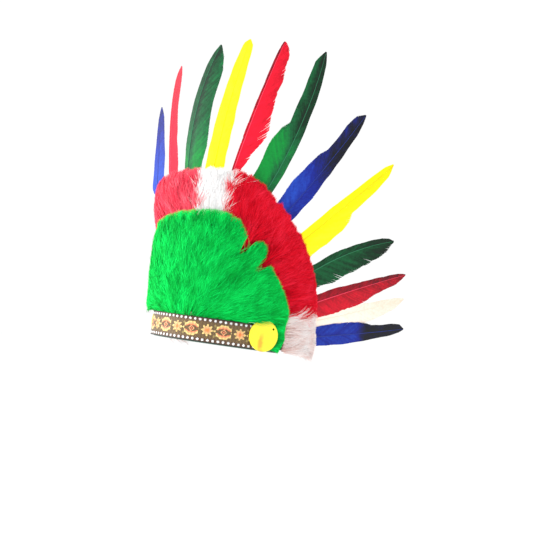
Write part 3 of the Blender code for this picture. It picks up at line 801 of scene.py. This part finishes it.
def green_edges(angle):
    """Lower edge and tip radius of the green plumage at angles in degrees."""
    turn = np.radians(angle)
    lower = past_band(turn, PAILLETTE_ARC + GREEN_PAST_DISC, BAND_HEIGHT)
    middle = np.copysign(PAILLETTE_ARC, turn) - FAN_SHIFT
    nearest = middle * np.sin(turn) + PAILLETTE_HEIGHT * np.cos(turn)
    half_chord = PAILLETTE_CLEAR ** 2 - middle ** 2 - PAILLETTE_HEIGHT ** 2 + nearest ** 2
    past_disc = np.where(half_chord > 0.0, nearest + np.sqrt(np.maximum(half_chord, 0.0)), 0.0)
    lower = np.maximum(lower, past_disc)
    tip = GREEN_RADIUS * np.interp(angle, OUTLINE[:, 0], OUTLINE[:, 1])
    return lower, np.maximum(tip, lower + GREEN_LEAST)


def ring_edges(angle):
    """Foot and tip radius of the outer ring at angles in degrees."""
    turn = np.radians(angle)
    root = np.maximum(RING_ROOT, past_band(turn, BAND_REACH, BAND_HEIGHT) + RING_OVER_BAND)
    tufts = TUFT_DEPTH * (np.sin(89.0 * turn + 0.6) + 0.7 * np.sin(151.0 * turn + 2.0))
    return root, RING_RADIUS * np.interp(angle, OUTLINE[:, 0], OUTLINE[:, 2]) + tufts


def ring_face(angle, radius):
    """Offset of the ring's face: thin below the green's tips, then full, then thin at its rim."""
    _, cover = green_edges(angle)
    _, tip = ring_edges(angle)
    share = (radius - cover) / (tip - cover)
    return RING_INNER + RING_THICKNESS * np.interp(
        share, [-0.30, 0.00, 0.20, 0.50, 0.80, 1.00], [0.16, 0.18, 0.62, 1.05, 0.90, 0.40]
    )


PLUME_WAYS = np.array([0.0, 0.38, 0.72, 1.0])
PLUME_WIDTHS = np.array([0.80, 1.00, 0.72])
PLUME_HALF_WIDTH = 0.00017
PLUME_ROOT_DEPTH = 0.0032
PLUME_OVERRUN = 0.0011
CORE_PITCH = 1.2
CORE_INSET = 0.8
CORE_LEVELS = np.linspace(0.03, 0.93, 17)[None, :]
CORE_SWELL = np.sin(math.pi * np.linspace(0.04, 0.96, 17))[None, :] ** 0.3


def plumage(
    name, material, node, first, last, edges, face, inner, rows, seed,
    core=None, foot=0.0,
):
    """Soft strands from one angle to another, over a core of down with edges of its own.

    The core's foot is set back behind its rear face by a depth of its own.
    """
    rng = np.random.default_rng(seed)
    parts = []
    for way_from, way_to, row_length, count, rear in rows:
        spread = np.linspace(first, last, 400)
        low, high = edges(spread)
        crowd = np.cumsum(low + (high - low) * (way_from + way_to) / 2)
        angle = np.interp((np.arange(count) + rng.random(count)) / count, crowd / crowd[-1], spread)
        low, high = edges(angle)
        room = high - low
        length = np.minimum(row_length * rng.uniform(0.65, 1.35, count), 0.9 * room + 0.003)
        root = low + room * (way_from + (way_to - way_from) * rng.random(count))
        tip = np.minimum(root + length, high + PLUME_OVERRUN * rng.standard_normal(count))
        root = np.maximum(np.minimum(root, tip - 0.7 * length), low)

        # Strands lean, bend, rise and change tone with their neighbours, and a little alone
        across_here = np.radians(angle) * root
        lean = 0.20 * drift(across_here, root, 0.020, rng)
        lean = lean + 0.14 * drift(across_here, root, 0.006, rng)
        lean = np.clip(lean + 0.10 * rng.standard_normal(count), -0.55, 0.55)
        bend = 0.16 * drift(across_here, root, 0.012, rng) + 0.14 * rng.standard_normal(count)
        bend = np.clip(bend, -0.4, 0.4)
        relief = 0.0007 * drift(across_here, root, 0.014, rng) + 0.0004 * rng.standard_normal(count)
        streak = 0.24 * drift(across_here, 0.35 * root, 0.009, rng)
        streak = streak + 0.19 * rng.standard_normal(count)

        sway = (tip - root) * (np.tan(lean) + bend)
        _, high_there = edges(angle + np.degrees(sway / tip))
        tip = np.minimum(tip, high_there + 0.0008 * rng.standard_normal(count))
        tip = np.maximum(tip, root + 0.0015)
        t = PLUME_WAYS[None, :]
        reach = (tip - root)[:, None]
        along = reach * t
        across = along * np.tan(lean)[:, None] + bend[:, None] * reach * t ** 2
        turn = np.radians(angle)[:, None]
        radius = root[:, None] + along
        place = np.stack([
            radius * np.sin(turn) + across * np.cos(turn),
            radius * np.cos(turn) - across * np.sin(turn),
        ], -1)
        if rear:
            offset = inner - 0.0002 - 0.0005 * rng.random(count)[:, None]
        else:
            offset = face(angle[:, None], radius) + relief[:, None] * (0.4 + t)
            sunk = PLUME_ROOT_DEPTH * np.clip((root - low) / 0.006, 0.15, 1.0)[:, None]
            offset = offset - sunk * (1.0 - t) ** 2 + 0.0010 * t * (1.0 - t) * 4
            offset = np.maximum(offset, inner + 0.0004)
        middle = flat_point(place, offset)
        outward = unit(flat_point(place, offset + PROBE) - middle)
        direction = unit(np.gradient(middle, axis=1))
        flat_side = unit(np.cross(direction, outward))
        roll = np.clip(0.5 * rng.standard_normal(count), -1.1, 1.1)[:, None, None]
        side = (flat_side * np.cos(roll) + outward * np.sin(roll))[:, :-1]
        side = side * PLUME_HALF_WIDTH * PLUME_WIDTHS[None, :, None]
        pairs = np.stack([middle[:, :-1] - side, middle[:, :-1] + side], 2).reshape(count, 6, 3)
        strands = np.concatenate([pairs, middle[:, -1:]], 1)
        base = np.arange(count)[:, None, None] * 7
        quads = (base + np.array([(0, 1, 3, 2), (2, 3, 5, 4)])).reshape(-1, 4)
        tips = (base + np.array([(4, 5, 6)])).reshape(-1, 3)
        guide = (outward + flat_side * 0.5 * np.sin(roll))[:, [0, 0, 1, 1, 2, 2, 3]]
        # u runs from each strand's root to its tip; the down's ramp turns it into painted shade at
        # the roots
        u = np.broadcast_to(np.array([0.02, 0.02, 0.36, 0.36, 0.70, 0.70, 0.98]), (count, 7))
        beside = 0.008 * np.array([-1, 1, -1, 1, -1, 1, 0])
        tone = np.clip(0.5 + streak, 0.06, 0.97)[:, None] + beside
        parts.append((
            strands.reshape(-1, 3), (quads, tips), np.stack([u, tone], -1).reshape(-1, 2),
            guide.reshape(-1, 3),
        ))

    if core is not None:
        # The core: down packed under the strands, front and back joined round its rim
        steps = max(4, int((last - first) / CORE_PITCH))
        angle = np.linspace(first + CORE_INSET, last - CORE_INSET, steps + 1)[:, None]
        low, high = core(angle)
        radius = low + (high - low) * CORE_LEVELS
        room = np.maximum(face(angle, radius) - inner - 0.0012, 0.0)
        front_offset = inner + 0.0004 + room * CORE_SWELL
        front = fan_point(np.radians(angle), radius, front_offset)
        set_back = foot * np.clip(1.0 - CORE_LEVELS / 0.15, 0.0, 1.0)
        rear_side = fan_point(np.radians(angle), radius, inner - set_back)
        loop = np.concatenate([front, rear_side[:, ::-1]], 1)
        out = unit(fan_point(np.radians(angle), radius, front_offset + PROBE) - front)
        count, around = loop.shape[:2]
        # Painted shade: the core's UVs sit at the dark root end of the down's ramp, so the gaps
        # between strands show dark down
        core_u = np.tile(0.10 * np.arange(around) / around, count)
        core_v = np.repeat(0.02 * np.arange(count) / count, around)
        parts.append((
            loop.reshape(-1, 3), tube_faces(count, around), np.stack([core_u, core_v], -1),
            np.concatenate([out, out[:, ::-1]], 1).reshape(-1, 3),
        ))

    made = mesh_piece(name, parts, material, own_share=0.15)
    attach(made, "root")
    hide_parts(node)


def dyed_down(name, root_colour, middle_colour, tip_colour):
    """Dyed marabou: very matt, with painted shade along each strand, dark at its root deep in the
    down and pale at its silky tip that catches the light.
    """
    made, tree, shader = new_material(name, Roughness=0.85, Specular_IOR_Level=0.10)
    down_map = add_node(tree, "UVMap", uv_map="OFBake")[0]
    # Painted shade: the ramp runs dark to pale along each strand (u), shifted by the strand's own
    # dye tone (v)
    tone = add_node(
        tree, "VectorMath", {1: (0.35, 0.75, 0.0)}, {0: down_map}, operation="DOT_PRODUCT"
    )["Value"]
    ramp = add_node(
        tree, "ValToRGB", links={"Fac": tone},
        stops=((0.10, root_colour), (0.50, middle_colour), (0.95, tip_colour)),
    )
    feed_shader(tree, shader, ramp["Color"])
    return made


red_down = dyed_down("marabou, dyed red", "#9C0012", "#E80420", "#FF2C48")
# Painted light: a paler, pinker copy of the red down for the side where the key light falls
lit_red_down = dyed_down("marabou, dyed red, painted light", "#C41C34", "#F03C54", "#FF7484")
white_down = dyed_down("marabou, white", "#FBF2EE", "#FFFFFF", "#FFFFFF")
# Painted shade: a greyer copy of the white down for the ears, with a painted pink reflection in its
# roots
shaded_white_down = dyed_down("marabou, white, painted shade", "#DEB4AC", "#FFEEEA", "#FFFFFF")
green_down = dyed_down("marabou, dyed emerald", "#006C24", "#00C044", "#10FF70")

RING_SECTIONS = (
    # node, from angle, to angle, material, slot, share of the strands
    ("white_fluff_ear_right", -90.5, -74.0, shaded_white_down, "fluff_white", 0.24),
    ("red_fluff_right", -74.0, 2.5, lit_red_down, "fluff_red", 0.75),
    ("white_fluff_center", 2.5, 12.5, white_down, "fluff_white", 0.16),
    ("red_fluff_left", 12.5, 71.5, red_down, "fluff_red", 1.00),
    ("white_fluff_ear_left", 71.5, 89.5, shaded_white_down, "fluff_white", 0.45),
)
for number, (node, first, last, down, slot_name, share) in enumerate(RING_SECTIONS):
    lowest = 0.00 if "ear" in node else 0.25
    ring_rows = (
        # roots from way, roots to way, strand length, strands, whether behind
        (lowest, 0.60, 0.020, int(4500 * share), False),
        (0.45, 0.85, 0.018, int(8000 * share), False),
        (0.70, 1.00, 0.014, int(6500 * share), False),
        (0.20, 0.95, 0.022, int(4500 * share), True),
    )
    plumage(
        node + "_marabou", down, node, first, last, ring_edges, ring_face, RING_INNER,
        ring_rows, 40 + number, ring_edges,
    )


# Green fluff: the thick bib of emerald marabou over the ribbon's upper edge. A lower and
# an upper layer of strands sweep up and out from the band, parted by two slits.
GREEN_THICKNESS = 0.0062
GREEN_INNER = 0.0072
GREEN_OVER_RIBBON = 0.0018
GREEN_FOOT = 0.0026
GREEN_HALF_ANGLE = 88.5


def green_face(angle, radius):
    """Offset of the green's face: it swells above the ribbon and rounds off at its rim."""
    low, high = green_edges(angle)
    share = (radius - low) / (high - low)
    full = GREEN_THICKNESS * np.clip((high - low) / 0.030, 0.45, 1.0)
    return GREEN_INNER + full * np.interp(
        share,
        [0.00, 0.06, 0.20, 0.50, 0.75, 0.90, 1.00],
        [0.30, 0.70, 1.10, 1.25, 1.15, 0.95, 0.55],
    )


def bib_edges(angle):
    """The green's edges, with its lowest strands over the ribbon's edge and under the disc."""
    low, high = green_edges(angle)
    return low - GREEN_OVER_RIBBON, high


def pad_edges(angle):
    """Edges of the green's core, which runs on behind the disc."""
    _, high = green_edges(angle)
    return past_band(np.radians(angle), PAILLETTE_ARC + GREEN_PAST_DISC, BAND_HEIGHT), high


GREEN_LAYERS = (
    # name, edges of its core if it has one, seed, and rows as in the ring
    ("green_marabou_upper", pad_edges, 71, (
        (0.35, 0.70, 0.020, 12000, False), (0.60, 1.00, 0.016, 14000, False),
        (0.40, 0.95, 0.022, 6000, True),
    )),
    ("green_marabou_lower", None, 72, (
        (0.00, 0.12, 0.014, 10000, False), (0.05, 0.30, 0.018, 11000, False),
        (0.22, 0.50, 0.020, 10000, False), (0.05, 0.45, 0.022, 5000, True),
    )),
)
for name, core, seed, green_rows in GREEN_LAYERS:
    plumage(
        name, green_down, "green_fluff", -GREEN_HALF_ANGLE, GREEN_HALF_ANGLE,
        bib_edges, green_face, GREEN_INNER, green_rows, seed, core, GREEN_FOOT,
    )


# Front ribbon: a woven jacquard ribbon sewn on the felt. Flowers and lozenges of peach
# and yellow thread float on a dark ground, between two rows of white dots.
RIBBON_WIDTH = 0.0255
RIBBON_REACH = 0.0970
RIBBON_OUTER = 0.0071
RIBBON_THICKNESS = 0.0007
THREAD = 0.00053
REPEAT = 0.0318
FLOWER_PLACE = 0.0066
DOT_PITCH = 0.0050
DOT_RADIUS = 0.00125
DOT_HEIGHT = 0.0100
FLOAT_HEIGHT = 0.00028
FLOWER_RADIUS = 0.0047
PETAL_DEPTH = 0.0013
FLOWER_CENTRE = 0.0014
BRACKET_HALF_WIDTH = 0.0082
BRACKET_HALF_HEIGHT = 0.0070
ARCH_HALF_WIDTH = 0.0060
ARCH_HALF_HEIGHT = 0.0034
ARCH_PARTING = 0.0016
KNOT_SHIFT = 0.0006
BORDER_FROM = 0.0085
SELVEDGE = 0.0011

columns = round(2 * RIBBON_REACH / THREAD)
weft_rows = round(RIBBON_WIDTH / THREAD)
ribbon = flat_strip("jacquard_front_ribbon", 2 * RIBBON_REACH, RIBBON_WIDTH, columns, weft_rows)
cell_x = (np.arange(columns) + 0.5) * 2 * RIBBON_REACH / columns - RIBBON_REACH
cell_y = (np.arange(weft_rows) + 0.5) * RIBBON_WIDTH / weft_rows - RIBBON_WIDTH / 2
x, y = np.meshgrid(cell_x, cell_y)
x_motif = (x - FLOWER_PLACE + REPEAT / 4) % REPEAT - REPEAT / 4
flower_r = np.hypot(x_motif, y)
flower_turn = np.arctan2(y, x_motif)
petals = FLOWER_RADIUS + PETAL_DEPTH * np.cos(8 * flower_turn)
x_lozenge = x_motif - REPEAT / 2
lozenge = np.hypot(x_lozenge / BRACKET_HALF_WIDTH, y / BRACKET_HALF_HEIGHT)
lozenge_turn = np.arctan2(y / BRACKET_HALF_HEIGHT, x_lozenge / BRACKET_HALF_WIDTH)
scallop = 1.0 + 0.06 * np.cos(10 * lozenge_turn)
arch_inside = np.hypot(x_lozenge / ARCH_HALF_WIDTH, y / ARCH_HALF_HEIGHT)
diamond = np.abs(x_lozenge) + np.abs(y)
x_dot = (x + DOT_PITCH / 2) % DOT_PITCH - DOT_PITCH / 2

THREADS = {
    # thread colour and how high its floats stand
    "ground": ("#5C3E26", 0.0), "olive": ("#A08C50", 0.2), "peach": ("#FFB47C", 1.0),
    "salmon": ("#F28258", 1.0), "orange": ("#FA8C3C", 1.0), "yellow": ("#FFE08A", 1.0),
    "white": ("#FFFFFF", 1.5), "edge": ("#1D2A22", 0.3),
}
speck = (np.arange(columns)[None, :] + 2 * np.arange(weft_rows)[:, None]) % 5 == 0
flower = flower_r < petals * 0.80
arch = (lozenge < scallop) & (arch_inside > 1.0) & (np.abs(y) > ARCH_PARTING)
knot = np.abs(np.where(
    x_motif > REPEAT / 2, REPEAT * 3 / 4 - x_motif, x_motif - REPEAT / 4 + KNOT_SHIFT
))
MOTIFS = (
    # where, and the thread that shows there; later rows lie over earlier ones
    (speck, "olive"), (flower_r < petals, "yellow"), (flower, "peach"),
    (flower & (np.cos(8 * flower_turn) < -0.55), "salmon"), (flower_r < FLOWER_CENTRE, "orange"),
    (arch, "peach"), (arch & (arch_inside < 1.22), "salmon"), (arch & (lozenge > 0.86), "yellow"),
    (diamond < 0.0030, "peach"), (diamond < 0.0019, "ground"), (diamond < 0.0010, "salmon"),
    (knot + np.abs(y) < 0.0011, "yellow"),
    (knot + np.abs(np.abs(y) - 0.0052) < 0.0014, "olive"),
    (np.abs(y) > BORDER_FROM, "ground"),
    (np.hypot(x_dot, np.abs(y) - DOT_HEIGHT) < DOT_RADIUS, "white"),
    (np.abs(y) > RIBBON_WIDTH / 2 - SELVEDGE, "edge"),
)
thread_of = np.full(x.shape, "ground", object)
for where, thread in MOTIFS:
    thread_of[where] = thread

float_of = np.vectorize(lambda name: THREADS[name][1])(thread_of) * FLOAT_HEIGHT
padded = np.pad(float_of, 1, mode="edge")
corner_height = (padded[:-1, :-1] + padded[1:, :-1] + padded[:-1, 1:] + padded[1:, 1:]) / 4
flat = read_all(ribbon.data.vertices, "co", 3)
cloth_size = np.array([2 * RIBBON_REACH, RIBBON_WIDTH])
cloth_cells = np.array([columns, weft_rows])
column, row = np.round((flat[:, :2] / cloth_size + 0.5) * cloth_cells).astype(int).T
offset = RIBBON_OUTER - FLOAT_HEIGHT + corner_height[row, column]
move_vertices(ribbon, wrapped(flat[:, 0], BAND_HEIGHT / 2 + flat[:, 1], offset))
face_uv = read_all(ribbon.data.uv_layers["Threads"].data, "uv", 2).reshape(-1, 4, 2).mean(1)
face_column, face_row = ((face_uv / cloth_size + 0.5) * cloth_cells).astype(int).T
palette = {name: linear(colour) for name, (colour, _) in THREADS.items()}
face_colour = np.array([palette[name] for name in thread_of[face_row, face_column]])
threads = ribbon.data.color_attributes.new("thread", "FLOAT_COLOR", "CORNER")
write_all(threads.data, "color", np.repeat(face_colour, 4, axis=0))
apply_modifier(ribbon, "cloth", "SOLIDIFY", thickness=RIBBON_THICKNESS, offset=-1.0)
bpy.ops.object.shade_smooth()

# Jacquard weave in rayon and polyester: each coloured float is a small silky cushion, with painted
# shade in the hollows of the weave
jacquard, tree, shader = new_material(
    "jacquard ribbon, rayon floats", Roughness=0.5, Sheen_Weight=0.1
)
thread_colour = add_node(tree, "Attribute", attribute_name="thread")["Color"]
threads_map = add_node(tree, "UVMap", uv_map="Threads")[0]
weave = add_node(
    tree, "TexWave", {"Scale": 1 / THREAD / 20, "Distortion": 0.6}, {"Vector": threads_map},
    wave_type="BANDS", bands_direction="X",
)["Fac"]
# Painted shade: the thread colour darkens in the hollows of the same waves that give the weave its
# relief
shading = add_node(tree, "MapRange", {"To Min": 0.72, "To Max": 1.05}, {"Value": weave})[0]
woven = add_node(
    tree, "MixRGB", {"Fac": 1.0}, {"Color1": thread_colour, "Color2": shading},
    blend_type="MULTIPLY",
)[0]
feed_shader(tree, shader, woven, weave, 0.4, 0.0002)
ribbon.data.materials.append(jacquard)
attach(ribbon, "root")
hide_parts("front_ribbon")


# Paillettes: large flat sequins stamped from yellow plastic film, with a softened rim and
# a small sewing hole. One sits on each end of the ribbon, over the ends of the plumage.
PAILLETTE_DIAMETER = 0.0322
PAILLETTE_THICKNESS = 0.0014
PAILLETTE_HOLE = 0.0022
PAILLETTE_HOLE_INSET = 0.0032
PAILLETTE_HOLE_TURN = 52.0
PAILLETTE_RIM = 0.0004
PAILLETTE_SEAT = 0.0015
# Where the painted reflection runs down the disc
REFLECTION_STREAK_PLACE = 0.0505

# Yellow PVC film with a pearl coat: glossy and faintly mottled, with a painted reflection, an
# orange streak low on its face
film, tree, shader = new_material(
    "yellow PVC film, pearl coat", Roughness=0.18, Coat_Weight=0.6, Coat_Roughness=0.06, IOR=1.53
)
place = add_node(tree, "TexCoord")["Object"]
cloud = add_node(tree, "TexNoise", {"Scale": 130.0, "Detail": 2.0}, {"Vector": place})["Fac"]
split = add_node(tree, "SeparateXYZ", links={"Vector": place})
# Painted reflection: an orange band down the face, strongest low on the disc
beside = add_node(tree, "Math", {1: REFLECTION_STREAK_PLACE}, {0: split[1]}, operation="ADD")[0]
away = add_node(tree, "Math", links={0: beside}, operation="ABSOLUTE")[0]
reflection_stripe = add_node(
    tree, "MapRange", {"From Min": 0.0010, "From Max": 0.0056, "To Min": 1.0, "To Max": 0.0},
    {"Value": away},
)[0]
below = add_node(
    tree, "MapRange", {"From Min": 0.0110, "From Max": 0.0220, "To Min": 1.0, "To Max": 0.05},
    {"Value": split[2]},
)[0]
thick = add_node(tree, "Math", links={0: reflection_stripe, 1: below}, operation="MULTIPLY")[0]
depth = add_node(tree, "Math", {2: -0.12}, {0: cloud, 1: thick}, operation="MULTIPLY_ADD")[0]
ramp = add_node(
    tree, "ValToRGB", links={"Fac": depth}, stops=((0.00, "#FFF21E"), (0.36, "#F7B010"))
)
feed_shader(tree, shader, ramp["Color"])

for node, side in (("paillette_right", -1), ("paillette_left", 1)):
    bpy.ops.object.select_all(action="DESELECT")
    bpy.ops.mesh.primitive_cylinder_add(
        vertices=96, radius=PAILLETTE_DIAMETER / 2, depth=PAILLETTE_THICKNESS, end_fill_type="NGON"
    )
    disc = bpy.context.object
    disc.name = node + "_sequin"
    hole_turn = math.radians(90.0 - side * PAILLETTE_HOLE_TURN)
    hole_way = PAILLETTE_DIAMETER / 2 - PAILLETTE_HOLE_INSET
    bpy.ops.mesh.primitive_cylinder_add(
        vertices=24, radius=PAILLETTE_HOLE / 2, depth=PAILLETTE_THICKNESS * 3,
        location=(hole_way * math.cos(hole_turn), hole_way * math.sin(hole_turn), 0.0),
    )
    punch = bpy.context.object
    apply_modifier(disc, "hole", "BOOLEAN", operation="DIFFERENCE", object=punch, solver="EXACT")
    bpy.data.objects.remove(punch, do_unlink=True)
    apply_modifier(disc, "rim", "BEVEL", width=PAILLETTE_RIM, segments=3, limit_method="ANGLE")
    seat_offset = RIBBON_OUTER + PAILLETTE_SEAT
    middle = Vector(wrapped(side * PAILLETTE_ARC, PAILLETTE_HEIGHT, seat_offset))
    outside = Vector(wrapped(side * PAILLETTE_ARC, PAILLETTE_HEIGHT, seat_offset + PROBE))
    outward = (outside - middle).normalized()
    seat = Matrix.Translation(middle + outward * PAILLETTE_THICKNESS / 2)
    disc.data.transform(seat @ outward.to_track_quat("Z", "Y").to_matrix().to_4x4())
    bpy.ops.object.shade_smooth_by_angle(angle=math.radians(35.0))
    disc.data.materials.append(film)
    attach(disc, "root")
    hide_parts(node)
